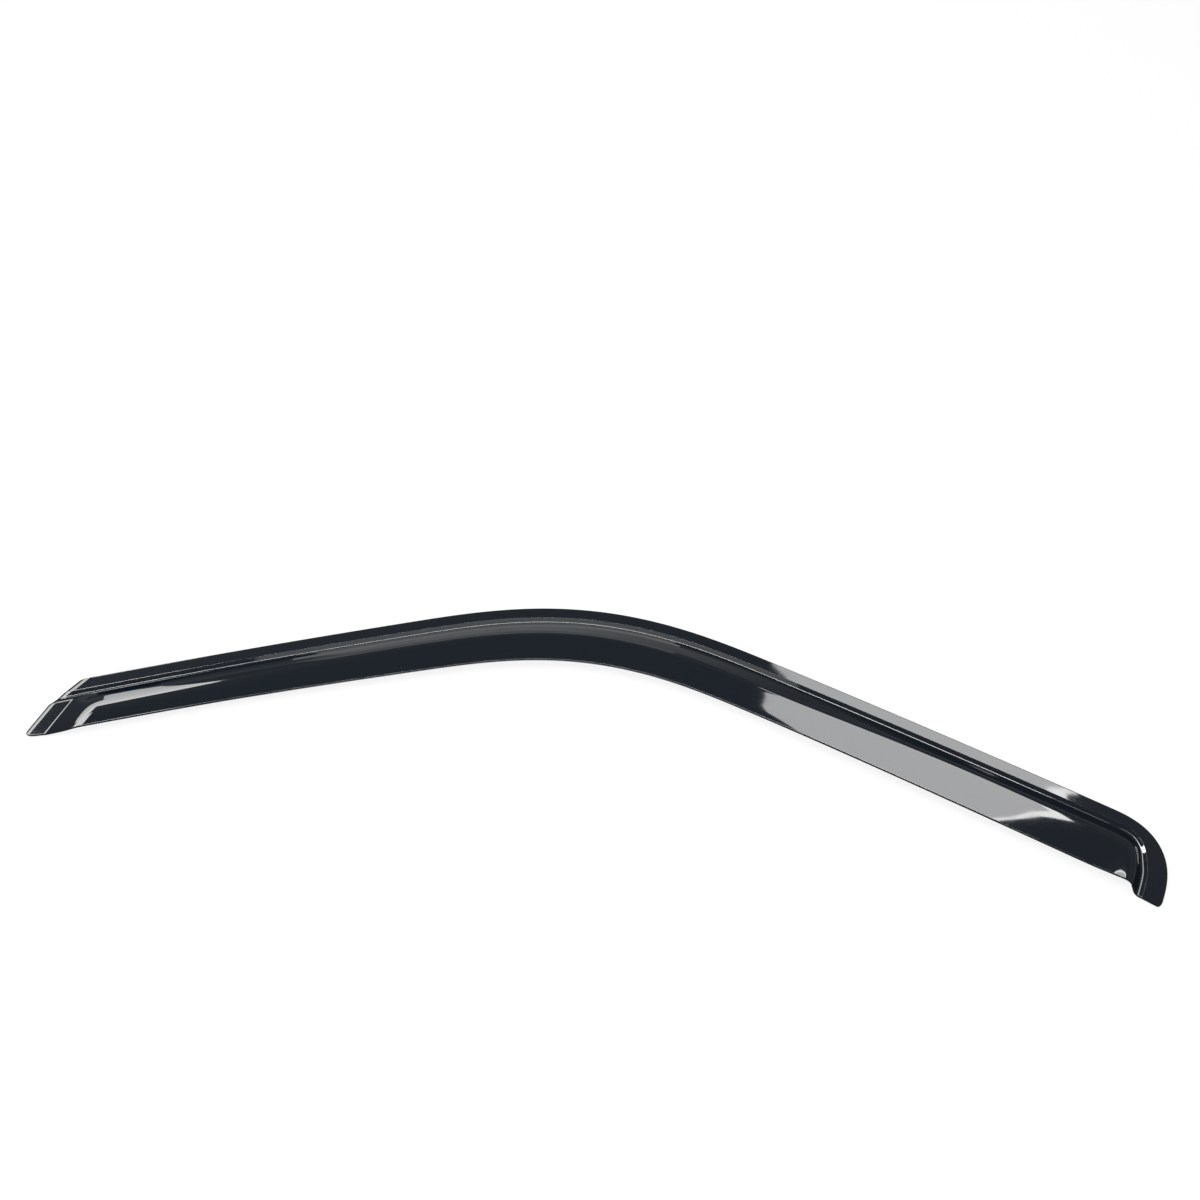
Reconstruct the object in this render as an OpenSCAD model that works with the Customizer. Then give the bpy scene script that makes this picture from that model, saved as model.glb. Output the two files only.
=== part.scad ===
// Window rain deflector for the left door of a two-door car or pickup, lying as it comes to rest
// with its outer face up and its front end at -X.
// One glossy smoked acrylic moulding: a flat flange follows the window frame, a small step and a
// sloping wall lift the blade off the glass, the rear end wraps round the frame's corner as a
// short leg, and the front end comes down to a flat foot. Foam tape with release liners is
// stuck under the flange, the leg and the foot. Sizes are in millimetres.

/* [Run along the window frame] */
// Length of the front run, beside the windscreen pillar
pillar_len = 304; // [220:1:360]
// Length of the eased bend between the two runs
bend_len = 358; // [280:1:440]
// Length of the run under the roof
roof_len = 308; // [220:1:380]
// Direction of the front end, up from the X axis
pillar_angle = 19.6; // [14:0.2:26]
// Angle of the bend between the two runs
bend_angle = 36.1; // [28:0.1:44]
// Slight turn spread over the front run
pillar_bow = 1.9; // [0:0.1:3]
// Slight turn spread over the roof run
roof_bow = 1.6; // [0:0.1:3]

/* [Rear corner and leg] */
// Length of the eased rear corner, along the flange's outer edge
corner_len = 103; // [100:1:130]
// Angle of the rear corner
corner_angle = 90; // [76:0.5:94]
// Straight length of the leg below the corner
leg_len = 5; // [2:1:14]
// Width of the flange on the leg
leg_flange_w = 16.5; // [12:0.5:18]
// Slope of the wall beside the leg
leg_wall_angle = 56; // [44:1:62]
// How far the leg's cut end steps back across the wall
leg_step_back = 3; // [0:0.5:5]

/* [Section of the moulding] */
// Thickness of the sheet
sheet_t = 2.5; // [2:0.1:3.2]
// Width of the flat flange
flange_w = 10; // [9:0.5:12]
// Depth of the step down from the flange, which lets the tape fit under the flange
step_depth = 1; // [0.6:0.1:1.1]
// Slope of the step
step_angle = 17; // [14:1:30]
// Fillet radius at the top and bottom of the step, at the front
front_step_r = 4; // [1:0.5:6]
// The same radius from the bend on
step_r = 0.8; // [0.4:0.1:1.2]
// Width of the flat groove between the step and the wall, at the front
groove_w = 1.8; // [1:0.1:3]
// The same width from the roof on
roof_groove_w = 1.3; // [0.6:0.1:2.5]
// Slope of the wall between the groove and the blade, as far as the roof
wall_angle = 36; // [32:1:42]
// The same slope under the roof
roof_wall_angle = 45; // [40:1:54]
// Length under the roof over which the wall steepens
wall_change_len = 200; // [120:10:240]
// Concave fillet at the foot of the wall
wall_foot_r = 2; // [1:0.1:3]
// Convex shoulder at the top of the wall, at the front
front_shoulder_r = 16; // [8:1:20]
// The same radius from the bend on
shoulder_r = 8; // [5:0.5:11]
// Rounding of the sheet's long edges
edge_r = 0.8; // [0.4:0.1:1]

/* [Blade] */
// Height of the blade over the flange at the front
front_rise = 8; // [6:0.5:11]
// Height of the blade over the flange at the rear
rear_rise = 12; // [9:0.5:15]
// Distance from the flange's outer edge to the blade's lower edge at the front
front_w = 51.5; // [46:0.5:60]
// The same distance under the roof
roof_w = 60.5; // [54:0.5:70]
// The same distance where the rear corner begins
rear_w = 62.5; // [56:0.5:72]
// Distance from the front over which the blade widens
widening_len = 550; // [400:10:700]
// Downward slope of the blade at its lower edge
blade_droop = 5; // [0:0.5:9]

/* [Front foot] */
// Length of the flat foot pad
foot_len = 21; // [16:0.5:28]
// Slant of the flange's front end
flange_slant = 55; // [40:1:60]
// Slant of the foot pad's front end
foot_slant = 40; // [28:1:46]
// How much narrower the foot's tip is than the blade
foot_taper = 3.5; // [2:0.5:9]
// Slope of the end wall that comes down to the foot
end_wall_angle = 19; // [16:1:26]
// Concave fillet where the end wall meets the foot
end_foot_r = 1.2; // [0.8:0.1:3]
// Convex fillet at the top of the end wall
end_top_r = 28; // [16:1:32]
// Length over which the slant fades out into the blade
slant_fade = 90; // [70:5:120]

/* [Rounded corners] */
// Reach of the rounding of the flange's front corner, along the edge
front_corner_len = 10; // [6:1:16]
// Reach of the rounding of the flange's front corner, across the end
front_corner_w = 1; // [0.5:0.5:5]
// Reach of the rounding of the foot's tip, along the lower edge
tip_corner_len = 8; // [4:0.5:14]
// Reach of the rounding of the foot's tip, across the end
tip_corner_w = 4.5; // [1:0.5:6]
// Reach of the rounding of the leg's outer corner, along the edge
leg_corner_len = 7; // [4:0.5:11]
// Reach of the rounding of the leg's outer corner, across the end
leg_corner_w = 3.5; // [2:0.5:6]

/* [Foam tape] */
// Thickness of the foam tape
tape_t = 1.1; // [0.8:0.1:1.6]
// Thickness of the release liner
liner_t = 0.2; // [0.1:0.05:0.3]
// Width of the tape under the flange
tape_w = 7; // [5:0.5:7.5]
// Width of the tape under the leg
leg_tape_w = 11; // [8:0.5:11.5]
// Distance from the moulding's edge to the tape
tape_inset = 1.5; // [1:0.1:2]
// Distance from the flange's front corner to the long tape
tape_start = 14; // [10:1:30]
// Length of the tape under the leg
leg_tape_len = 36; // [25:1:37]
// Distance from the foot's end wall to the tape under the foot
foot_tape_gap = 4.5; // [3.5:0.5:7]
// Length of the liner's pull tab
tab_len = 6; // [4:0.5:8]

/* [Hidden] */

smoke = [0.09, 0.11, 0.14];
foam_grey = [0.25, 0.25, 0.26];
liner_red = [0.75, 0.08, 0.07];

// Distances along the flange's outer edge, from the front
bend_at = pillar_len;
roof_at = bend_at + bend_len;
corner_at = roof_at + roof_len;
leg_at = corner_at + corner_len;
run_len = leg_at + leg_len;

function clamp(x) = min(max(x, 0), 1);
function ease(x) = let (c = clamp(x)) c * c * (3 - 2 * c);
function mix(a, b, share) = a + (b - a) * share;
function unit(v) = v / norm(v);

// The outer edge of the flange, seen from above

function heading(s) =
    pillar_angle
    - pillar_bow * clamp(s / pillar_len)
    - bend_angle * ease((s - bend_at) / bend_len)
    - roof_bow * clamp((s - roof_at) / roof_len)
    - corner_angle * ease((s - corner_at) / corner_len);

function along(s) = [cos(heading(s)), sin(heading(s))];
function inward(s) = [sin(heading(s)), -cos(heading(s))];

// The edge is walked in short steps, from ahead of the front corner to past the leg's end
walk_step = 2;
walk_before = 80;
walk_after = 20;
walked = [
    for (s = -walk_before, p = [0, 0]; s <= run_len + walk_after;
        p = p + walk_step * along(s + walk_step / 2), s = s + walk_step)
        [s, p.x, p.y]
];
walked_x = [for (w = walked) [w[0], w[1]]];
walked_y = [for (w = walked) [w[0], w[2]]];

// Point at distance s along the edge and d inward from it
function place(s, d) = [lookup(s, walked_x), lookup(s, walked_y)] + d * inward(s);

// A wall that rises h between a concave fillet, low_r, and a convex one, top_r

function wall_slope(h, angle, low_r, top_r) =
    min(angle, acos(max(0, 1 - h / (low_r + top_r))));

function wall_run(h, angle, low_r, top_r) =
    let (a = wall_slope(h, angle, low_r, top_r), r = low_r + top_r)
    r * sin(a) + (h - r * (1 - cos(a))) / tan(a);

function wall_height(x, h, angle, low_r, top_r) =
    let (
        a = wall_slope(h, angle, low_r, top_r),
        back = wall_run(h, angle, low_r, top_r) - x
    )
    x <= 0 ? 0 :
    back <= 0 ? h :
    x < low_r * sin(a) ? low_r - sqrt(low_r * low_r - x * x) :
    back < top_r * sin(a) ? h - top_r + sqrt(top_r * top_r - back * back) :
    low_r * (1 - cos(a)) + (x - low_r * sin(a)) * tan(a);

// Distances along the wall at which its two fillets are divided
function wall_marks(h, angle, low_r, top_r, low_n, top_n) =
    let (
        a = wall_slope(h, angle, low_r, top_r),
        run = wall_run(h, angle, low_r, top_r)
    )
    concat(
        [for (k = [0:low_n]) low_r * sin(a * k / low_n)],
        [for (k = [0:top_n]) run - top_r * sin(a * (1 - k / top_n))]
    );

// Forms that change along the moulding

end_wall_run = wall_run(front_rise, end_wall_angle, end_foot_r, end_top_r);
blade_at = foot_len + end_wall_run;

function leg_share(s) = ease((s - corner_at - 0.25 * corner_len) / (0.45 * corner_len));
function flange_at(s) = mix(flange_w, leg_flange_w, leg_share(s));

function blade_level(s) = mix(front_rise, rear_rise, ease((s - blade_at) / (roof_at - blade_at)));

// Height of the blade over the flange, with the foot and the end wall
function rise(s) =
    wall_height(s - foot_len, blade_level(s), end_wall_angle, end_foot_r, end_top_r);

function rise_share(s) = clamp(rise(s) / front_rise);
function bend_share(s) = ease(s / bend_at);
function steepening(s) = ease((s - roof_at) / wall_change_len);
function slope_at(s) =
    let (side_angle = mix(wall_angle, roof_wall_angle, steepening(s)))
    mix(step_angle, mix(side_angle, leg_wall_angle, leg_share(s)), rise_share(s));
function step_fillet(s) = mix(front_step_r, step_r, bend_share(s));
function shoulder_at(s) =
    mix(step_fillet(s), mix(front_shoulder_r, shoulder_r, bend_share(s)), rise_share(s));

function step_run(s) = wall_run(step_depth, step_angle, step_fillet(s), step_fillet(s));
function groove_at(s) = mix(groove_w, roof_groove_w, clamp(s / roof_at));
function wall_from(s) = flange_at(s) + step_run(s) + groove_at(s);
function wall_to(s) =
    wall_from(s) + wall_run(step_depth + rise(s), slope_at(s), wall_foot_r, shoulder_at(s));

// Rounding of a corner, as the distance that it takes off across the end
function corner_cut(x, reach, width) = width * pow(1 - sqrt(clamp(x / reach)), 2);
function outer_from(s) =
    corner_cut(s, front_corner_len, front_corner_w)
    + corner_cut(run_len - s, leg_corner_len, leg_corner_w);

function blade_w(s) =
    mix(front_w, roof_w, ease(s / widening_len))
    + (rear_w - roof_w) * ease((s - roof_at) / roof_len)
    - foot_taper * (1 - ease(s / blade_at))
    - corner_cut(s, tip_corner_len, tip_corner_w);

// The ribs lie square across the edge, slant to the cut of the front end, and turn to the
// straight lower cut at the leg

pad_from = wall_from(0) + wall_run(step_depth, step_angle, wall_foot_r, step_fillet(0));
function front_shift(d) =
    min(d, pad_from) * tan(flange_slant) + max(d - pad_from, 0) * tan(foot_slant);
function front_share(s) = 1 - ease((s - blade_at) / slant_fade);

leg_tip = place(run_len, 0);
fan_at = corner_at - 10;
fan_from = place(fan_at, blade_w(fan_at));
lower_cut = unit(fan_from - leg_tip);
cut_turn = atan2(lower_cut * along(run_len), lower_cut * inward(run_len));
function leg_end_share(s) = ease((s - run_len + 30) / 30);

function leg_end_shift(s, d) =
    let (across = 1.5 * (d - flange_at(s)) / (wall_to(s) - flange_at(s)))
    d * tan(cut_turn) - leg_step_back * ease(across);

function on_rib(s, d) =
    place(s - front_share(s) * front_shift(d) + leg_end_share(s) * leg_end_shift(s, d), d);

// Lower edge of the blade. Past the start of the corner it runs straight to the leg.
lip = 2;
fan_to = on_rib(run_len, wall_to(run_len) + lip);
function lower_edge(s) =
    s < fan_at ? on_rib(s, blade_w(s)) :
    mix(fan_from, fan_to, (s - fan_at) / (run_len - fan_at));

// One rib of the outer face, from the flange's outer edge to the blade's lower edge

blade_n = 4;
function flange_marks(s) =
    let (r = step_fillet(s))
    concat(
        [flange_at(s) - 0.1],
        [for (x = wall_marks(step_depth, step_angle, r, r, 2, 2)) flange_at(s) + x]
    );
function flange_height(s, d) =
    -wall_height(d - flange_at(s), step_depth, step_angle, step_fillet(s), step_fillet(s));
function wall_rib(s) =
    let (h = step_depth + rise(s), a = slope_at(s), top_r = shoulder_at(s))
    [for (x = wall_marks(h, a, wall_foot_r, top_r, 3, 5))
        concat(
            on_rib(s, wall_from(s) + x),
            wall_height(x, h, a, wall_foot_r, top_r) - step_depth
        )
    ];
function blade_point(s, share, drop) =
    let (
        from = on_rib(s, wall_to(s)),
        to = lower_edge(s),
        sag = norm(to - from) * tan(blade_droop * rise_share(s)) / 2
    )
    concat(mix(from, to, share), rise(s) - sag * share * share - drop);
function blade_rib(s) = [for (k = [1:blade_n - 1]) blade_point(s, k / blade_n, 0)];

// The part of a rib that both faces share
function core_rib(s) = concat(
    [for (d = flange_marks(s)) concat(on_rib(s, d), flange_height(s, d))],
    wall_rib(s),
    blade_rib(s)
);

function edge_share(s, x) = 1 - x / norm(lower_edge(s) - on_rib(s, wall_to(s)));
function outer_edge_rib(s) =
    let (d = outer_from(s))
    [
        concat(on_rib(s, d), -edge_r),
        concat(on_rib(s, d + 0.3 * edge_r), -0.3 * edge_r),
        concat(on_rib(s, d + edge_r), 0)
    ];
function lower_edge_rib(s) = [
    blade_point(s, edge_share(s, edge_r), 0),
    blade_point(s, edge_share(s, 0.3 * edge_r), 0.3 * edge_r),
    blade_point(s, 1, edge_r)
];
function top_rib(s) = concat(outer_edge_rib(s), core_rib(s), lower_edge_rib(s));

// Stations along the moulding

function steps(from, to, n) = [for (k = [0:n - 1]) mix(from, to, k / n)];
stations = concat(
    [for (k = [0:3]) front_corner_len * pow(k / 4, 2)],
    steps(front_corner_len, foot_len, 3),
    [for (x = wall_marks(front_rise, end_wall_angle, end_foot_r, end_top_r, 2, 4)) foot_len + x],
    [for (s = steps(blade_at, blade_at + slant_fade, 7)) if (s > blade_at) s],
    steps(blade_at + slant_fade, bend_at, 5),
    steps(bend_at, roof_at, 28),
    steps(roof_at, fan_at, 7),
    steps(fan_at, run_len - leg_corner_len, 22),
    [for (k = [0:4]) run_len - leg_corner_len * pow(1 - k / 4, 2)]
);
last = len(stations) - 1;

top = [for (s = stations) top_rib(s)];
edge_points = 3;
core_n = len(core_rib(0));

// Height of the sheet under a point, so that its thickness is the same square to the slope
function depth(i, j) =
    let (
        run = top[min(i + 1, last)][j] - top[max(i - 1, 0)][j],
        side = top[i][min(j + 1, edge_points + core_n)] - top[i][max(j - 1, edge_points - 1)],
        n = cross(run, side)
    )
    sheet_t * min(norm(n) / abs(n.z), 1 / cos(leg_wall_angle));

// The inner face, from the lower edge back to the flange's outer edge
function under_rib(i) = concat(
    [let (p = top[i][core_n + 2 * edge_points - 1]) [p.x, p.y, p.z + edge_r - sheet_t]],
    [for (j = [edge_points + core_n - 1:-1:edge_points])
        let (p = top[i][j])
        [p.x, p.y, max(p.z - depth(i, j), -step_depth - sheet_t)]],
    [let (p = top[i][0]) [p.x, p.y, -sheet_t]]
);
rings = [for (i = [0:last]) concat(top[i], under_rib(i))];

// Centre of the moulding's outline, which becomes the origin
xs = [for (r = rings, p = r) p.x];
ys = [for (r = rings, p = r) p.y];
centre = [(min(xs) + max(xs)) / 2, (min(ys) + max(ys)) / 2];

flange_top = liner_t + tape_t + sheet_t;

// A closed skin over rings that have the same number of points
module skin(rings) {
    n = len(rings[0]);
    m = len(rings);
    polyhedron(
        points = [for (r = rings, p = r) p],
        faces = concat(
            [for (i = [0:m - 2], j = [0:n - 1])
                let (a = i * n + j, b = i * n + (j + 1) % n)
                each [[a, b + n, b], [a, a + n, b + n]]],
            end_faces(0, n, true),
            end_faces((m - 1) * n, n, false)
        )
    );
}

// An end of the sheet, as a strip between its outer and inner faces
function end_faces(base, n, far) =
    let (
        top_n = core_n + 2 * edge_points,
        inner = [for (j = [n - 1:-1:top_n]) base + j],
        outer = [for (j = [edge_points - 1:edge_points + core_n]) base + j],
        caps = [
            [base + 1, base, inner[0]],
            [base + 2, base + 1, inner[0]],
            [base + top_n - 1, base + top_n - 2, inner[core_n + 1]],
            [base + top_n - 2, base + top_n - 3, inner[core_n + 1]]
        ],
        strip = [for (k = [0:core_n])
            each [
                [outer[k], inner[k], inner[k + 1]],
                [outer[k], inner[k + 1], outer[k + 1]]
            ]]
    )
    [for (f = concat(caps, strip)) far ? [f[2], f[1], f[0]] : f];

module visor() {
    color(smoke)
        translate([-centre.x, -centre.y, flange_top])
            skin(rings);
}

// Outlines of the tapes, which follow the edge or the foot

function strip_outline(from, to, outer, width, n) = concat(
    [for (k = [0:n]) place(mix(from, to, k / n), outer)],
    [for (k = [n:-1:0]) place(mix(from, to, k / n), outer + width)]
);
function pad_outline(from, to, outer, inner) = [
    on_rib(from, outer),
    on_rib(to, outer),
    on_rib(to, inner),
    on_rib(from, inner)
];

module layer(outline, base, thickness) {
    translate([-centre.x, -centre.y, base])
        linear_extrude(height = thickness)
            polygon(outline);
}

long_tape_to = corner_at + 4;
leg_tape_from = run_len - leg_corner_len - leg_tape_len;
leg_tape_to = run_len - leg_corner_len;
pad_tape_to = foot_len - foot_tape_gap;
pad_tape_w = blade_w(foot_len / 2) - tip_corner_w - tape_inset;

module long_tape() {
    color(foam_grey)
        layer(strip_outline(tape_start, long_tape_to, tape_inset, tape_w, 70), liner_t, tape_t);
}

module long_tape_liner() {
    color(liner_red)
        layer(strip_outline(tape_start - tab_len, long_tape_to, tape_inset, tape_w, 70), 0, liner_t);
}

module leg_tape() {
    color(foam_grey)
        layer(strip_outline(leg_tape_from, leg_tape_to, tape_inset, leg_tape_w, 10), liner_t, tape_t);
}

module leg_tape_liner() {
    color(liner_red)
        layer(strip_outline(leg_tape_from - tab_len, leg_tape_to, tape_inset, leg_tape_w, 12), 0, liner_t);
}

module foot_tape() {
    color(foam_grey)
        layer(pad_outline(tape_inset, pad_tape_to, pad_from + tape_inset, pad_tape_w), liner_t, tape_t);
}

module foot_tape_liner() {
    color(liner_red)
        layer(
            pad_outline(tape_inset, pad_tape_to + tab_len, pad_from + tape_inset, pad_tape_w),
            0, liner_t
        );
}

visor();
long_tape();
long_tape_liner();
leg_tape();
leg_tape_liner();
foot_tape();
foot_tape_liner();
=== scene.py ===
import bmesh
import bpy
import numpy as np
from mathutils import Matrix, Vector


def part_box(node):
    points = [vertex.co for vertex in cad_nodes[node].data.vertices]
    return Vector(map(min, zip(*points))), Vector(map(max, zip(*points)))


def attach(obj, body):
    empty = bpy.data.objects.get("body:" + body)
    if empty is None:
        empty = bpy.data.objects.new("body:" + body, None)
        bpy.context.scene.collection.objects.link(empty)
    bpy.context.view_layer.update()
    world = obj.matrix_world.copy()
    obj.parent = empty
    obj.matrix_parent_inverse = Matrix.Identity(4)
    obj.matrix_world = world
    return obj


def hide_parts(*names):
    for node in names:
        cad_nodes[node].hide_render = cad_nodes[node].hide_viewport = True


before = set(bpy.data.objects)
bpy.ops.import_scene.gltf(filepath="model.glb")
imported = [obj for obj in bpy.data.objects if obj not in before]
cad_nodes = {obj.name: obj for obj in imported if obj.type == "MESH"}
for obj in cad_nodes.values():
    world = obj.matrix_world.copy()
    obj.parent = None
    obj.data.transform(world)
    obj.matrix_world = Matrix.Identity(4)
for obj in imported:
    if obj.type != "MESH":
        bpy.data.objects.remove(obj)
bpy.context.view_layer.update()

# The photograph's view: the deflector lies flat, outer face up, with its front foot at the left,
# seen from its blade side and from 60 degrees up.
LENS_MM = 36.0
SENSOR_MM = 36.0
CAMERA_AT = Vector((0.06526, -0.44549, 0.99629))
CAMERA_AIM = Vector((-0.00748, 0.12510, 0.0))

camera_data = bpy.data.cameras.new("camera")
camera_data.sensor_width = SENSOR_MM
camera_data.lens = LENS_MM
camera = bpy.data.objects.new("camera", camera_data)
camera.location = CAMERA_AT
camera.rotation_euler = (CAMERA_AIM - CAMERA_AT).to_track_quat("-Z", "Y").to_euler()
bpy.context.scene.collection.objects.link(camera)
bpy.context.scene.camera = camera

# The deflector is one injection moulding in smoked acrylic: a flange, a step down to a groove, a
# sloping wall and a long blade. Its rear end wraps the frame's corner as a leg, and its front end
# comes down to a flat foot. Sizes are the solid's, in mm, but for rolls, step, ramp and foot tip.
MM = 0.001
PILLAR_LEN = 304.0
BEND_LEN = 358.0
ROOF_LEN = 308.0
PILLAR_ANGLE = np.radians(19.6)
BEND_ANGLE = np.radians(36.1)
PILLAR_BOW = np.radians(1.9)
ROOF_BOW = np.radians(1.6)
CORNER_LEN = 103.0
CORNER_ANGLE = np.radians(90.0)
FAN_LEAD = 10.0
LEG_LEN = 5.0
LEG_FROM = 0.25 * CORNER_LEN
LEG_FADE = 0.45 * CORNER_LEN
LEG_CUT_FADE = 30.0
LEG_FLANGE_W = 16.5
LEG_WALL_ANGLE = np.radians(56.0)
LEG_STEP_BACK = 3.0
STEP_BACK_PACE = 1.5

SHEET = 2.5
FLANGE_W = 10.0
STEP_DEPTH = 1.0
STEP_ANGLE = np.radians(17.0)
SOFT_STEP_ANGLE = np.radians(12.5)
SOFT_STEP_FADE = 0.3 * CORNER_LEN
FRONT_STEP_R = 4.0
STEP_R = 0.4
STEP_R_FADE = 170.0
STEP_FOOT_R = 4.0
GROOVE_W = 1.8
ROOF_GROOVE_W = 1.3
WALL_ANGLE = np.radians(36.0)
ROOF_WALL_ANGLE = np.radians(45.0)
WALL_CHANGE_LEN = 200.0
WALL_FOOT_R = 2.0
CREASE_R = 0.7
FRONT_SHOULDER_R = 24.0
SHOULDER_R = 8.0
RIM_R = 0.5
FRONT_RIM_R = 0.4
RIM_REACH = 0.9

FRONT_RISE = 8.0
REAR_RISE = 12.0
FRONT_W = 51.5
ROOF_W = 60.5
REAR_W = 62.5
WIDENING_LEN = 550.0
BLADE_DROOP = np.radians(5.0)
LIP = 2.0

FOOT_LEN = 21.0
FOOT_TAPER = 3.5
FLANGE_SLANT = np.radians(55.0)
FOOT_SLANT = np.radians(40.0)
RAMP_LEN = 28.1
RAMP_ANGLE = np.radians(14.5)
RAMP_FOOT_R = 2.0
RAMP_TOP_R = 50.0
END_ROLL_ANGLE = np.radians(22.0)
FLANGE_END_ROLL = 9.0
FOOT_END_ROLL = 5.5
SLANT_FADE = 90.0

FRONT_CORNER = (10.0, 1.0)
TIP_CORNER = (13.0, 7.0)
LEG_CORNER = (7.0, 3.5)

BEND_AT = PILLAR_LEN
ROOF_AT = BEND_AT + BEND_LEN
CORNER_AT = ROOF_AT + ROOF_LEN
RUN_LEN = CORNER_AT + CORNER_LEN + LEG_LEN
FAN_AT = CORNER_AT - FAN_LEAD


def ease(x):
    c = np.clip(x, 0, 1)
    return c * c * (3 - 2 * c)


def mix(a, b, share):
    return a + (b - a) * share


def heading(s):
    return (
        PILLAR_ANGLE
        - PILLAR_BOW * np.clip(s / PILLAR_LEN, 0, 1)
        - BEND_ANGLE * ease((s - BEND_AT) / BEND_LEN)
        - ROOF_BOW * np.clip((s - ROOF_AT) / ROOF_LEN, 0, 1)
        - CORNER_ANGLE * ease((s - CORNER_AT) / CORNER_LEN)
    )


# The flange's outer edge is walked in half-millimetre steps
WALK_FROM = -80.0
WALK_PAST = 20.0
WALK_STEP = 0.5
walk_s = np.arange(WALK_FROM, RUN_LEN + WALK_PAST, WALK_STEP)
walk_turn = heading(walk_s[:-1] + WALK_STEP / 2)
walk_x = np.concatenate([[0], np.cumsum(np.cos(walk_turn)) * WALK_STEP])
walk_y = np.concatenate([[0], np.cumsum(np.sin(walk_turn)) * WALK_STEP])


def place(s, d):
    turn = heading(s)
    x = np.interp(s, walk_s, walk_x) + d * np.sin(turn)
    y = np.interp(s, walk_s, walk_y) - d * np.cos(turn)
    return np.stack([x, y], axis=-1)


# A wall of height h: its low roll, its straight slope and its top roll. A low wall has no straight
# slope, so its angle is less.
LEAST_ANGLE = 1e-6


def wall_slope(h, angle, low_r, top_r):
    return np.minimum(angle, np.arccos(np.maximum(0, 1 - h / (low_r + top_r))))


def wall_run(h, angle, low_r, top_r):
    a = wall_slope(h, angle, low_r, top_r)
    r = low_r + top_r
    return r * np.sin(a) + (h - r * (1 - np.cos(a))) / np.tan(np.maximum(a, LEAST_ANGLE))


def wall_height(x, h, angle, low_r, top_r):
    a = np.maximum(wall_slope(h, angle, low_r, top_r), LEAST_ANGLE)
    back = wall_run(h, angle, low_r, top_r) - x
    straight = low_r * (1 - np.cos(a)) + (x - low_r * np.sin(a)) * np.tan(a)
    low = low_r - np.sqrt(np.maximum(low_r * low_r - x * x, 0))
    high = h - top_r + np.sqrt(np.maximum(top_r * top_r - back * back, 0))
    z = np.where(x < low_r * np.sin(a), low, np.where(back < top_r * np.sin(a), high, straight))
    return np.where(x <= 0, 0, np.where(back <= 0, h, z))


# Distances along a wall: round its foot, up its slope and over its top
def wall_marks(h, angle, low_r, top_r, low_n, slope_n, top_n):
    a = wall_slope(h, angle, low_r, top_r)
    run = wall_run(h, angle, low_r, top_r)
    low = [low_r * np.sin(a * k / low_n) for k in range(low_n)]
    slope_from = low_r * np.sin(a)
    slope_to = run - top_r * np.sin(a)
    slope = [mix(slope_from, slope_to, k / slope_n) for k in range(slope_n)]
    high = [run - top_r * np.sin(a * (1 - k / top_n)) for k in range(top_n + 1)]
    return low + slope + high


blade_at = FOOT_LEN + RAMP_LEN
ramp_run = wall_run(FRONT_RISE, RAMP_ANGLE, RAMP_FOOT_R, RAMP_TOP_R)


def leg_share(s):
    return ease((s - CORNER_AT - LEG_FROM) / LEG_FADE)


def flange_at(s):
    return mix(FLANGE_W, LEG_FLANGE_W, leg_share(s))


def rise(s):
    level = mix(FRONT_RISE, REAR_RISE, ease((s - blade_at) / (ROOF_AT - blade_at)))
    return wall_height(s - FOOT_LEN, level, RAMP_ANGLE, RAMP_FOOT_R, RAMP_TOP_R)


def rise_share(s):
    return np.clip(rise(s) / FRONT_RISE, 0, 1)


def slope_at(s):
    side_angle = mix(WALL_ANGLE, ROOF_WALL_ANGLE, ease((s - ROOF_AT) / WALL_CHANGE_LEN))
    return mix(STEP_ANGLE, mix(side_angle, LEG_WALL_ANGLE, leg_share(s)), rise_share(s))


def step_fillet(s):
    return mix(FRONT_STEP_R, STEP_R, ease(s / BEND_AT))


def shoulder_at(s):
    side_r = mix(FRONT_SHOULDER_R, SHOULDER_R, ease(s / BEND_AT))
    return mix(step_fillet(s), side_r, rise_share(s))


def step_run(s):
    return wall_run(STEP_DEPTH, STEP_ANGLE, step_fillet(s), step_fillet(s))


def wall_from(s):
    groove = mix(GROOVE_W, ROOF_GROOVE_W, np.clip(s / ROOF_AT, 0, 1))
    return flange_at(s) + step_run(s) + groove


def wall_to(s):
    return wall_from(s) + wall_run(STEP_DEPTH + rise(s), slope_at(s), WALL_FOOT_R, shoulder_at(s))


def corner_cut(x, corner):
    reach, width = corner
    return width * (1 - np.sqrt(np.clip(x / reach, 0, 1))) ** 2


def outer_from(s):
    return corner_cut(s, FRONT_CORNER) + corner_cut(RUN_LEN - s, LEG_CORNER)


def blade_w(s):
    return (
        mix(FRONT_W, ROOF_W, ease(s / WIDENING_LEN))
        + (REAR_W - ROOF_W) * ease((s - ROOF_AT) / ROOF_LEN)
        - FOOT_TAPER * (1 - ease(s / blade_at))
        - corner_cut(s, TIP_CORNER)
    )


pad_from = wall_from(0) + wall_run(STEP_DEPTH, STEP_ANGLE, WALL_FOOT_R, step_fillet(0))
leg_tip = place(RUN_LEN, 0)
fan_from = place(FAN_AT, blade_w(FAN_AT))
lower_cut = (fan_from - leg_tip) / np.linalg.norm(fan_from - leg_tip)
leg_turn = heading(RUN_LEN)
leg_along = np.array([np.cos(leg_turn), np.sin(leg_turn)])
leg_inward = np.array([np.sin(leg_turn), -np.cos(leg_turn)])
cut_lean = (lower_cut @ leg_along) / (lower_cut @ leg_inward)


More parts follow.
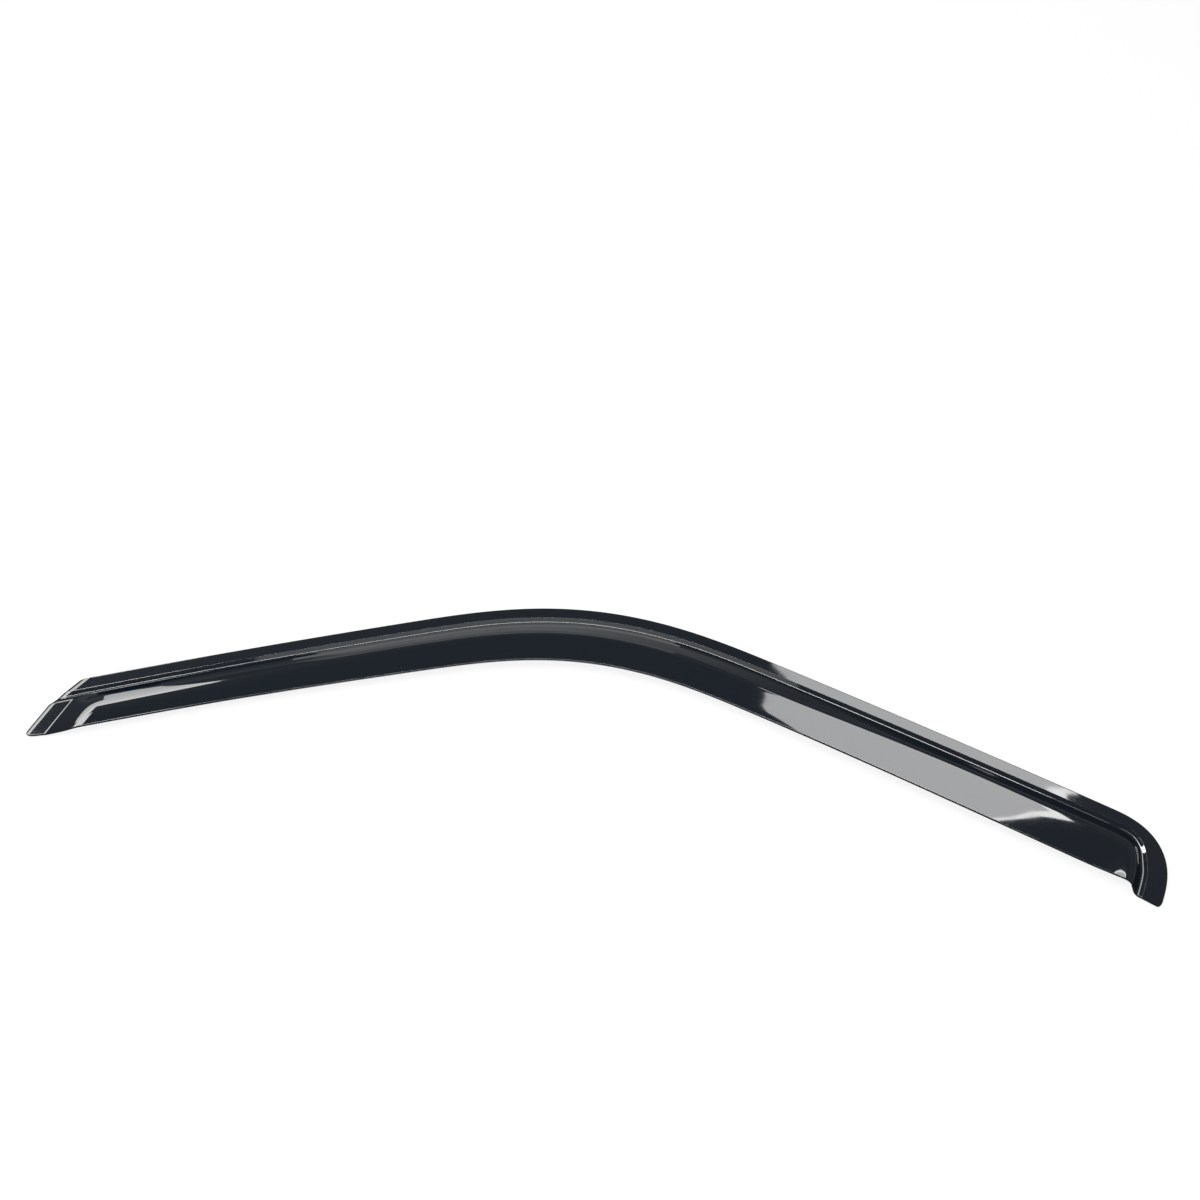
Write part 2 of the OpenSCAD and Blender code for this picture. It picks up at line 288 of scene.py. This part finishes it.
# A point on the rib that starts at s on the edge: ribs slant to the front end's cut and turn to
# the lower cut at the leg
def on_rib(s, d):
    front = np.minimum(d, pad_from) * np.tan(FLANGE_SLANT)
    front = front + np.maximum(d - pad_from, 0) * np.tan(FOOT_SLANT)
    across = STEP_BACK_PACE * (d - flange_at(s)) / (wall_to(s) - flange_at(s))
    leg = d * cut_lean - LEG_STEP_BACK * ease(across)
    front_share = 1 - ease((s - blade_at) / SLANT_FADE)
    leg_end_share = ease((s - RUN_LEN + LEG_CUT_FADE) / LEG_CUT_FADE)
    return place(s - front_share * front + leg_end_share * leg, d)


fan_to = on_rib(RUN_LEN, wall_to(RUN_LEN) + LIP)


def lower_edge(s):
    share = np.clip((s - FAN_AT) / (RUN_LEN - FAN_AT), 0, 1)[..., None]
    straight = mix(fan_from, fan_to, share)
    return np.where(s[..., None] < FAN_AT, on_rib(s, blade_w(s)), straight)


# Distances in from the sheet's rim, along which the rim is rounded
RIM_MARKS = [0.0, 0.05, 0.2, 0.45, 0.75, 1.0]
RIM_MOST = 0.6
rim = [RIM_REACH * m for m in RIM_MARKS]

# How many marks lie across each part. The step and the wall have three counts, for the low roll, the
# slope and the top roll. The flange's last mark lies a step's edge away from the step.
FLANGE_N = 6
STEP_N = (6, 2, 10)
WALL_N = (6, 3, 12)
BLADE_N = 18
STEP_EDGE = 0.1

# Distances between ribs, which are closer where the section changes faster
FOOT_GAP = 0.8
RAMP_GAP = 0.7
FRONT_GAP = 1.3
BEND_GAP = 2.5
LONG_GAP = 4.0
CORNER_GAP = 0.9


def spaced(low, high, step):
    n = max(1, round((high - low) / step))
    return list(np.linspace(low, high, n, endpoint=False))


stations = np.array(
    rim[:-1]
    + spaced(RIM_REACH, FOOT_LEN, FOOT_GAP)
    + spaced(FOOT_LEN, FOOT_LEN + ramp_run, RAMP_GAP)
    + spaced(FOOT_LEN + ramp_run, blade_at + SLANT_FADE, FRONT_GAP)
    + spaced(blade_at + SLANT_FADE, BEND_AT, LONG_GAP)
    + spaced(BEND_AT, ROOF_AT, BEND_GAP)
    + spaced(ROOF_AT, FAN_AT, LONG_GAP)
    + spaced(FAN_AT, RUN_LEN - RIM_REACH, CORNER_GAP)
    + [RUN_LEN - x for x in reversed(rim)]
)

# The flange, the step and the groove, from the outer rim inwards. The step is softer than the one
# that places the groove, up to the corner.
step_r = mix(FRONT_STEP_R, STEP_R, ease(stations / STEP_R_FADE))
step_angle = mix(SOFT_STEP_ANGLE, STEP_ANGLE, ease((stations - CORNER_AT) / SOFT_STEP_FADE))
step_form = (STEP_DEPTH, step_angle, step_r, STEP_FOOT_R)
flat_from = outer_from(stations) + RIM_REACH
flat_to = flange_at(stations) - STEP_EDGE
flange_d = [outer_from(stations) + x for x in rim]
flange_d += [mix(flat_from, flat_to, k / FLANGE_N) for k in range(1, FLANGE_N + 1)]
flange_d += [flange_at(stations) + x for x in wall_marks(*step_form, *STEP_N)]
flange_d.append(mix(flange_d[-1], wall_from(stations), 0.5))
flange_plan = [on_rib(stations, d) for d in flange_d]
flange_z = [-wall_height(d - flange_at(stations), *step_form) for d in flange_d]

# The wall, from its crease up to its shoulder
wall_form = (STEP_DEPTH + rise(stations), slope_at(stations), CREASE_R, shoulder_at(stations))
wall_x = wall_marks(*wall_form, *WALL_N)
wall_plan = [on_rib(stations, wall_from(stations) + x) for x in wall_x]
wall_z = [wall_height(x, *wall_form) - STEP_DEPTH for x in wall_x]

# The blade, which droops more towards its lower rim
blade_from = wall_plan[-1]
blade_to = lower_edge(stations)
blade_len = np.linalg.norm(blade_to - blade_from, axis=1)
droop = BLADE_DROOP * rise_share(stations)
blade_sag = blade_len * np.tan(droop) / 2
rim_share = np.minimum(RIM_REACH / blade_len, RIM_MOST)
blade_shares = [mix(0, 1 - rim_share, k / BLADE_N) for k in range(1, BLADE_N)]
blade_shares += [1 - rim_share * m for m in reversed(RIM_MARKS)]
blade_plan = [mix(blade_from, blade_to, share[:, None]) for share in blade_shares]
blade_z = [rise(stations) - blade_sag * share * share for share in blade_shares]

plan = np.stack(flange_plan + wall_plan + blade_plan, axis=1)
height = np.stack(flange_z + wall_z + blade_z, axis=1)

# The front end rolls over softly: the flange's end and the foot's end
foot_share = np.zeros(height.shape[1])
foot_share[len(flange_z):] = 1
foot_share[len(flange_z):-len(blade_z)] = ease(np.linspace(0, 1, len(wall_z)))
end_roll = mix(FLANGE_END_ROLL, FOOT_END_ROLL, foot_share)
end_across = np.cos(mix(FLANGE_SLANT, FOOT_SLANT, foot_share))
roll_left = np.clip(1 - stations[:, None] / end_roll, 0, 1)
height = height - roll_left**2 * end_roll * end_across * np.tan(END_ROLL_ANGLE) / 2
points = np.concatenate([plan, height[..., None]], axis=2)
rib_count, across_count = height.shape

# The inner face lies the sheet's thickness under the outer one, square to it
along_step = np.gradient(points, axis=0)
across_step = np.gradient(points, axis=1)
slope_normal = np.cross(along_step, across_step)
steepness = np.linalg.norm(slope_normal, axis=2) / np.abs(slope_normal[..., 2])
under = height - SHEET * np.minimum(steepness, 1 / np.cos(LEG_WALL_ANGLE))
under = np.maximum(under, -STEP_DEPTH - SHEET)

# The rim is rounded by each point's distance from the outline
NEAR = 7
SHORTEST = 1e-12
rim_r = mix(FRONT_RIM_R, RIM_R, ease(stations / FOOT_LEN))
outline = np.concatenate([plan[0], plan[1:, -1], plan[-1, -2::-1], plan[-2::-1, 0]])
edge_from = outline[:-1]
edge_way = outline[1:] - outline[:-1]
edge_square = np.maximum((edge_way**2).sum(axis=1), SHORTEST)
near_rim = np.zeros(height.shape, bool)
near_rim[:NEAR] = True
near_rim[-NEAR:] = True
near_rim[:, :NEAR] = True
near_rim[:, -NEAR:] = True
rim_drop = np.zeros(height.shape)
for i, j in zip(*np.nonzero(near_rim)):
    to_point = plan[i, j] - edge_from
    along = np.clip((to_point * edge_way).sum(axis=1) / edge_square, 0, 1)
    away = np.sqrt(((to_point - along[:, None] * edge_way) ** 2).sum(axis=1).min())
    inside = max(rim_r[i] - away, 0)
    rim_drop[i, j] = rim_r[i] - np.sqrt(rim_r[i] ** 2 - inside * inside)

visor_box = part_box("visor")
flange_top = visor_box[0].z / MM + STEP_DEPTH + SHEET
plan_low = outline.min(axis=0)
plan_high = outline.max(axis=0)
centre = np.array([plan_high[0] - visor_box[1].x / MM, (plan_low[1] + plan_high[1]) / 2])
outer_face = np.concatenate([plan - centre, (height - rim_drop + flange_top)[..., None]], axis=2) * MM
inner_face = np.concatenate([plan - centre, (under + rim_drop + flange_top)[..., None]], axis=2) * MM

# A flat grid of ribs and marks is extruded, and its two layers become the outer and inner faces
HALF_GRID = 0.5
moulding = bmesh.new()
bmesh.ops.create_grid(moulding, x_segments=rib_count - 1, y_segments=across_count - 1, size=HALF_GRID)
extruded = bmesh.ops.extrude_face_region(moulding, geom=moulding.faces[:], use_keep_orig=True)
for item in extruded["geom"]:
    if isinstance(item, bmesh.types.BMVert):
        item.co.z = 1
for v in moulding.verts:
    rib = round((v.co.x + HALF_GRID) * (rib_count - 1))
    mark = round((v.co.y + HALF_GRID) * (across_count - 1))
    face = outer_face if v.co.z > 0 else inner_face
    v.co = face[rib, mark]
bmesh.ops.recalc_face_normals(moulding, faces=moulding.faces[:])


# Makes a built shape an object in the scene
def set_out(name, built):
    mesh = bpy.data.meshes.new(name)
    built.to_mesh(mesh)
    built.free()
    piece = bpy.data.objects.new(name, mesh)
    bpy.context.scene.collection.objects.link(piece)
    return piece


visor = set_out("visor_moulding", moulding)
visor.data.shade_smooth()


# A socket of a shader's nodes, with the operators that the materials use
class Wire:
    def __init__(self, nodes, socket):
        self.nodes = nodes
        self.socket = socket

    @staticmethod
    def feed(nodes, socket, value):
        if isinstance(value, Wire):
            nodes.id_data.links.new(value.socket, socket)
        else:
            socket.default_value = value

    @staticmethod
    def node(nodes, kind, settings=None, output=0, **sockets):
        made = nodes.new(kind)
        for name, value in (settings or {}).items():
            setattr(made, name, value)
        for name, value in sockets.items():
            key = int(name[1:]) if name[1:].isdigit() else name.replace("_", " ")
            Wire.feed(nodes, made.inputs[key], value)
        return Wire(nodes, made.outputs[output])

    def maths(self, operation, *values):
        sockets = {f"i{k}": value for k, value in enumerate(values)}
        return Wire.node(self.nodes, "ShaderNodeMath", {"operation": operation}, **sockets)

    def __add__(self, other):
        return self.maths("ADD", self, other)

    def __sub__(self, other):
        return self.maths("SUBTRACT", self, other)

    def __rsub__(self, other):
        return self.maths("SUBTRACT", other, self)

    def __mul__(self, other):
        return self.maths("MULTIPLY", self, other)

    __radd__ = __add__
    __rmul__ = __mul__


# A new material with its nodes, its shader's sockets and the place on the piece
def new_finish(name):
    made = bpy.data.materials.new(name)
    made.use_nodes = True
    nodes = made.node_tree.nodes
    place = Wire.node(nodes, "ShaderNodeTexCoord", output="Object")
    return made, nodes, nodes["Principled BSDF"].inputs, place


def colour_between(nodes, share, low, high):
    return Wire.node(nodes, "ShaderNodeMix", {"data_type": "RGBA"}, output=2, i0=share, i6=low, i7=high)


# Smoked acrylic is nearly black with a cold navy depth and a high moulded gloss. Its colour clouds a
# little, and its gloss has the faint haze of handling.
ACRYLIC_DEEP = (0.0036, 0.0073, 0.0117, 1)
ACRYLIC_LIGHT = (0.0050, 0.0093, 0.0145, 1)
ACRYLIC_IOR = 1.49
ACRYLIC_GLOSS = 0.02
ACRYLIC_HAZE = 0.03

acrylic, acrylic_nodes, acrylic_sockets, acrylic_place = new_finish("smoked_acrylic")
acrylic_sockets["IOR"].default_value = ACRYLIC_IOR
cloud = Wire.node(
    acrylic_nodes, "ShaderNodeTexNoise", Vector=acrylic_place, Scale=14.0, Detail=3.0, Roughness=0.55
)
haze = Wire.node(
    acrylic_nodes, "ShaderNodeTexNoise", Vector=acrylic_place, Scale=90.0, Detail=4.0, Roughness=0.6
)
acrylic_colour = colour_between(acrylic_nodes, cloud, ACRYLIC_DEEP, ACRYLIC_LIGHT)
Wire.feed(acrylic_nodes, acrylic_sockets["Base Color"], acrylic_colour)
Wire.feed(acrylic_nodes, acrylic_sockets["Roughness"], haze * ACRYLIC_HAZE + ACRYLIC_GLOSS)
visor.data.materials.append(acrylic)
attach(visor, "root")
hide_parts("visor")

# Closed-cell foam tape holds the flange, the leg and the foot to the window frame. It is dark grey,
# and its cells show as a fine grain, with painted shade darkening each cell's pit.
FOAM_PIT_SHADE = (0.028, 0.028, 0.030, 1)
FOAM_PALE = (0.075, 0.075, 0.080, 1)
FOAM_MATT = 0.85
FOAM_CELL_DEPTH = 0.0002

foam, foam_nodes, foam_sockets, foam_place = new_finish("foam_tape")
foam_sockets["Roughness"].default_value = FOAM_MATT
cells = Wire.node(foam_nodes, "ShaderNodeTexVoronoi", output="Distance", Vector=foam_place, Scale=2600.0)
foam_bump = Wire.node(foam_nodes, "ShaderNodeBump", Height=cells, Strength=0.5, Distance=FOAM_CELL_DEPTH)
# Each cell's colour darkens towards its pit, where the bump sinks: painted shade over the grain.
Wire.feed(foam_nodes, foam_sockets["Base Color"], colour_between(foam_nodes, cells, FOAM_PIT_SHADE, FOAM_PALE))
Wire.feed(foam_nodes, foam_sockets["Normal"], foam_bump)
for name in ("long_tape", "leg_tape", "foot_tape"):
    cad_nodes[name].data.materials.clear()
    cad_nodes[name].data.materials.append(foam)

# A red release liner covers each tape until it is fitted. It is a satin film with fine creases, and
# its end stands free as a pull tab.
LINER_RED = (0.52, 0.022, 0.016, 1)
LINER_WORN = (0.60, 0.045, 0.032, 1)
LINER_SATIN = 0.25
LINER_CREASED = 0.2

liner, liner_nodes, liner_sockets, liner_place = new_finish("release_liner")
creases = Wire.node(liner_nodes, "ShaderNodeTexNoise", Vector=liner_place, Scale=220.0, Detail=3.0)
liner_colour = colour_between(liner_nodes, creases, LINER_RED, LINER_WORN)
Wire.feed(liner_nodes, liner_sockets["Base Color"], liner_colour)
Wire.feed(liner_nodes, liner_sockets["Roughness"], creases * LINER_CREASED + LINER_SATIN)
for name in ("long_tape_liner", "leg_tape_liner", "foot_tape_liner"):
    cad_nodes[name].data.materials.clear()
    cad_nodes[name].data.materials.append(liner)

# A wide white table carries the deflector, and keeps its soft shadow. To the gloss its glow is a painted
# reflection, which shows only along a stretch in X, where it fades in and out.
FLOOR_SIZE = 8.0
FLOOR_DROP = 0.0001
FLOOR_WHITE = (0.16, 0.16, 0.16, 1)
FLOOR_MATT = 0.9
FLOOR_GLOW = 0.87
PAINTED_REFLECTION_GLOW = 0.55
PAINTED_REFLECTION_FROM_X = (-0.29, -0.26)
PAINTED_REFLECTION_TO_X = (-0.05, 0.20)
NO_GLOSS = 0.0
WHITE = (1, 1, 1, 1)
BLACK = (0, 0, 0, 1)


# A share that goes from 0 at the first end of a span to 1 at its second
def share_along(nodes, value, span):
    return Wire.node(nodes, "ShaderNodeMapRange", i0=value, i1=span[0], i2=span[1], i3=0.0, i4=1.0)


table = bmesh.new()
bmesh.ops.create_grid(table, x_segments=1, y_segments=1, size=FLOOR_SIZE / 2)
bmesh.ops.translate(table, verts=table.verts, vec=(0, 0, -FLOOR_DROP))
floor = set_out("floor", table)
white_table, floor_nodes, floor_sockets, floor_place = new_finish("white_table")
floor_sockets["Base Color"].default_value = FLOOR_WHITE
floor_sockets["Roughness"].default_value = FLOOR_MATT
floor_sockets["Specular IOR Level"].default_value = NO_GLOSS
floor_sockets["Emission Color"].default_value = WHITE
camera_ray = Wire.node(floor_nodes, "ShaderNodeLightPath", output="Is Camera Ray")
glossy_ray = Wire.node(floor_nodes, "ShaderNodeLightPath", output="Is Glossy Ray")
through_ray = Wire.node(floor_nodes, "ShaderNodeLightPath", output="Is Transmission Ray")
floor_x = Wire.node(floor_nodes, "ShaderNodeSeparateXYZ", output="X", Vector=floor_place)
painted_reflection_from = share_along(floor_nodes, floor_x, PAINTED_REFLECTION_FROM_X)
painted_reflection_to = 1 - share_along(floor_nodes, floor_x, PAINTED_REFLECTION_TO_X)
# Glossy rays see a painted reflection: the floor glows for them only along the stretch in X.
seen = (camera_ray + through_ray) * FLOOR_GLOW + glossy_ray * painted_reflection_from * painted_reflection_to * PAINTED_REFLECTION_GLOW
Wire.feed(floor_nodes, floor_sockets["Emission Strength"], seen)
floor.data.materials.append(white_table)

# The room is dim, and pale round the horizon and in a ring high up, as a light tent is.
# The spans are heights on a ball round the table, from 0 at the horizon to 1 overhead.
ROOM_DIM = (0.25, 0.25, 0.265, 1)
ROOM_PALE = (0.40, 0.40, 0.42, 1)
HORIZON_SPAN = (0.12, 0.42)
RING_SPAN = (0.50, 0.83)
RING_END_SPAN = (0.84, 0.89)

room = bpy.data.worlds.new("room")
room.use_nodes = True
bpy.context.scene.world = room
room_nodes = room.node_tree.nodes
room_way = Wire.node(room_nodes, "ShaderNodeTexCoord", output="Generated")
room_up = Wire.node(room_nodes, "ShaderNodeSeparateXYZ", output="Z", Vector=room_way)
past_horizon = share_along(room_nodes, room_up, HORIZON_SPAN)
in_ring = share_along(room_nodes, room_up, RING_SPAN) * (1 - share_along(room_nodes, room_up, RING_END_SPAN))
room_colour = colour_between(room_nodes, past_horizon - in_ring, ROOM_PALE, ROOM_DIM)
Wire.feed(room_nodes, room_nodes["Background"].inputs["Color"], room_colour)

# One wide soft lamp overhead lights the table and the tape. The gloss doesn't see it, because the
# reflections are the softboxes' work.
LAMP_SIZE = 1.6
LAMP_WATTS = 42.0
LAMP_AT = (-0.5, 0.2, 2.2)

overhead_data = bpy.data.lights.new("overhead", "AREA")
overhead_data.shape = "DISK"
overhead_data.size = LAMP_SIZE
overhead_data.energy = LAMP_WATTS
overhead = bpy.data.objects.new("overhead", overhead_data)
overhead.location = LAMP_AT
overhead.rotation_euler = (-overhead.location).to_track_quat("-Z", "Y").to_euler()
overhead.visible_glossy = False
bpy.context.scene.collection.objects.link(overhead)

# Cloth softboxes hang and stand round the table, and only the gloss sees them. A wide grey one with
# a bright rim hangs over the right. Lower hang a line, a dim one, and small ones for the corner, the
# step and the front end. A tall one stands at the back left, and a wide one far behind.
GREY_Z = 2.0
RIM_GAP = 0.002
GREY_CLOTH = [
    (0.42, 1.40), (0.35, 1.12), (0.395, 1.08), (0.32, 0.98), (0.30, 0.89), (0.255, 0.74), (0.25, 0.67),
    (0.28, 0.62), (0.32, 0.54), (0.38, 0.38), (0.60, 0.20), (0.75, 0.33), (0.88, 0.49), (0.98, 0.64),
    (1.03, 0.70), (1.07, 0.745), (1.09, 0.85), (1.17, 0.855), (1.17, 1.40),
]
RIM_CLOTH = [
    (0.60, 0.30), (0.76, 0.32), (0.905, 0.50), (1.005, 0.63), (1.045, 0.665), (1.08, 0.69), (1.13, 0.725),
    (1.14, 0.838), (1.17, 0.84), (1.17, 1.38), (0.60, 1.38),
]
OVER_Z = 1.0
LINE_CLOTH = [
    (-0.66, 0.06), (-0.46, 0.11), (-0.29, 0.165), (-0.16, 0.20), (-0.07, 0.215), (0.03, 0.205), (0.18, 0.16),
    (0.35, 0.11), (0.52, 0.05), (0.60, 0.02), (0.62, 0.08), (0.56, 0.13), (0.40, 0.20), (0.23, 0.25),
    (0.06, 0.29), (-0.07, 0.31), (-0.20, 0.28), (-0.35, 0.23), (-0.50, 0.18), (-0.66, 0.14),
]
DIM_CLOTH = [
    (-0.52, -0.06), (-0.30, -0.02), (0.00, 0.02), (0.16, 0.00), (0.16, 0.15), (0.03, 0.195), (-0.07, 0.205),
    (-0.16, 0.19), (-0.29, 0.155), (-0.46, 0.10), (-0.52, 0.07),
]
CORNER_CLOTH = [(0.60, 0.02), (0.67, -0.02), (0.71, 0.00), (0.71, 0.05), (0.66, 0.08), (0.62, 0.08)]
STEP_CLOTH = [
    (-0.90, 0.00), (-0.80, 0.00), (-0.66, 0.04), (-0.66, 0.16), (-0.74, 0.135), (-0.80, 0.10), (-0.90, 0.05),
]
FRONT_CLOTH = [
    (-0.92, 0.04), (-0.92, 0.16), (-0.93, 0.23), (-0.945, 0.275), (-1.00, 0.283), (-1.075, 0.285),
    (-1.09, 0.36), (-1.10, 0.42), (-1.42, 0.42), (-1.42, -0.04),
]
FAR_AT = (0.0, 3.0, 0.0)
FAR_CLOTH = [(-1.85, 0.02), (0.45, 0.02), (0.30, 2.50), (-1.85, 2.50)]
UPRIGHT = np.pi / 2
TALL_AT = (-2.67, 1.97, 0.0)
TALL_TURN = np.radians(228.0)
TALL_CLOTH = [
    (-0.80, 0.45), (-0.76, 1.44), (-0.69, 2.67), (-0.61, 3.64), (-0.47, 4.25), (-0.21, 4.36), (0.21, 4.18),
    (0.47, 4.32), (0.92, 4.32), (0.97, 2.30), (0.85, 1.80), (0.72, 1.62), (0.58, 1.75), (0.42, 1.75),
    (0.10, 1.65), (-0.21, 1.62), (-0.44, 1.72), (-0.50, 1.55), (-0.53, 0.95), (-0.56, 0.02), (-0.72, 0.02),
]


# glow_rise is how much brighter the cloth grows in a metre upwards. again is its strength where the
# part mirrors it a second time, by way of its own flange, against that where it is seen once.
FIRST_BOUNCE = 1.5


def softbox(name, corners, glow, at, turn=(0, 0, 0), glow_rise=0.0, again=1.0):
    cloth = bmesh.new()
    cloth.faces.new([cloth.verts.new((x, y, 0)) for x, y in corners])
    box = set_out(name, cloth)
    glowing, nodes, sockets, spot = new_finish(name)
    sockets["Base Color"].default_value = BLACK
    sockets["Specular IOR Level"].default_value = NO_GLOSS
    sockets["Emission Color"].default_value = WHITE
    up = Wire.node(nodes, "ShaderNodeSeparateXYZ", output="Y", Vector=spot)
    depth = Wire.node(nodes, "ShaderNodeLightPath", output="Ray Depth")
    second = depth.maths("GREATER_THAN", depth, FIRST_BOUNCE)
    strength = (up * glow_rise + glow) * (second * (again - 1) + 1)
    Wire.feed(nodes, sockets["Emission Strength"], strength)
    box.data.materials.append(glowing)
    box.location = at
    box.rotation_euler = turn
    box.visible_camera = False
    box.visible_diffuse = False
    box.visible_transmission = False
    box.visible_shadow = False


softbox("softbox_grey", GREY_CLOTH, glow=9.3, at=(0, 0, GREY_Z))
softbox("softbox_rim", RIM_CLOTH, glow=19.0, at=(0, 0, GREY_Z + RIM_GAP))
for name, corners, glow in (
    ("softbox_line", LINE_CLOTH, 34.0),
    ("softbox_corner", CORNER_CLOTH, 10.0),
    ("softbox_step", STEP_CLOTH, 34.0),
    ("softbox_dim", DIM_CLOTH, 1.6),
    ("softbox_front", FRONT_CLOTH, 14.0),
):
    softbox(name, corners, glow, at=(0, 0, OVER_Z))
softbox(
    "softbox_tall", TALL_CLOTH, glow=4.0, at=TALL_AT, turn=(UPRIGHT, 0, TALL_TURN), glow_rise=2.4, again=0.0
)
softbox("softbox_far", FAR_CLOTH, glow=0.6, at=FAR_AT, turn=(UPRIGHT, 0, 0), glow_rise=0.35, again=3.0)

bpy.context.scene.view_settings.view_transform = "Standard"
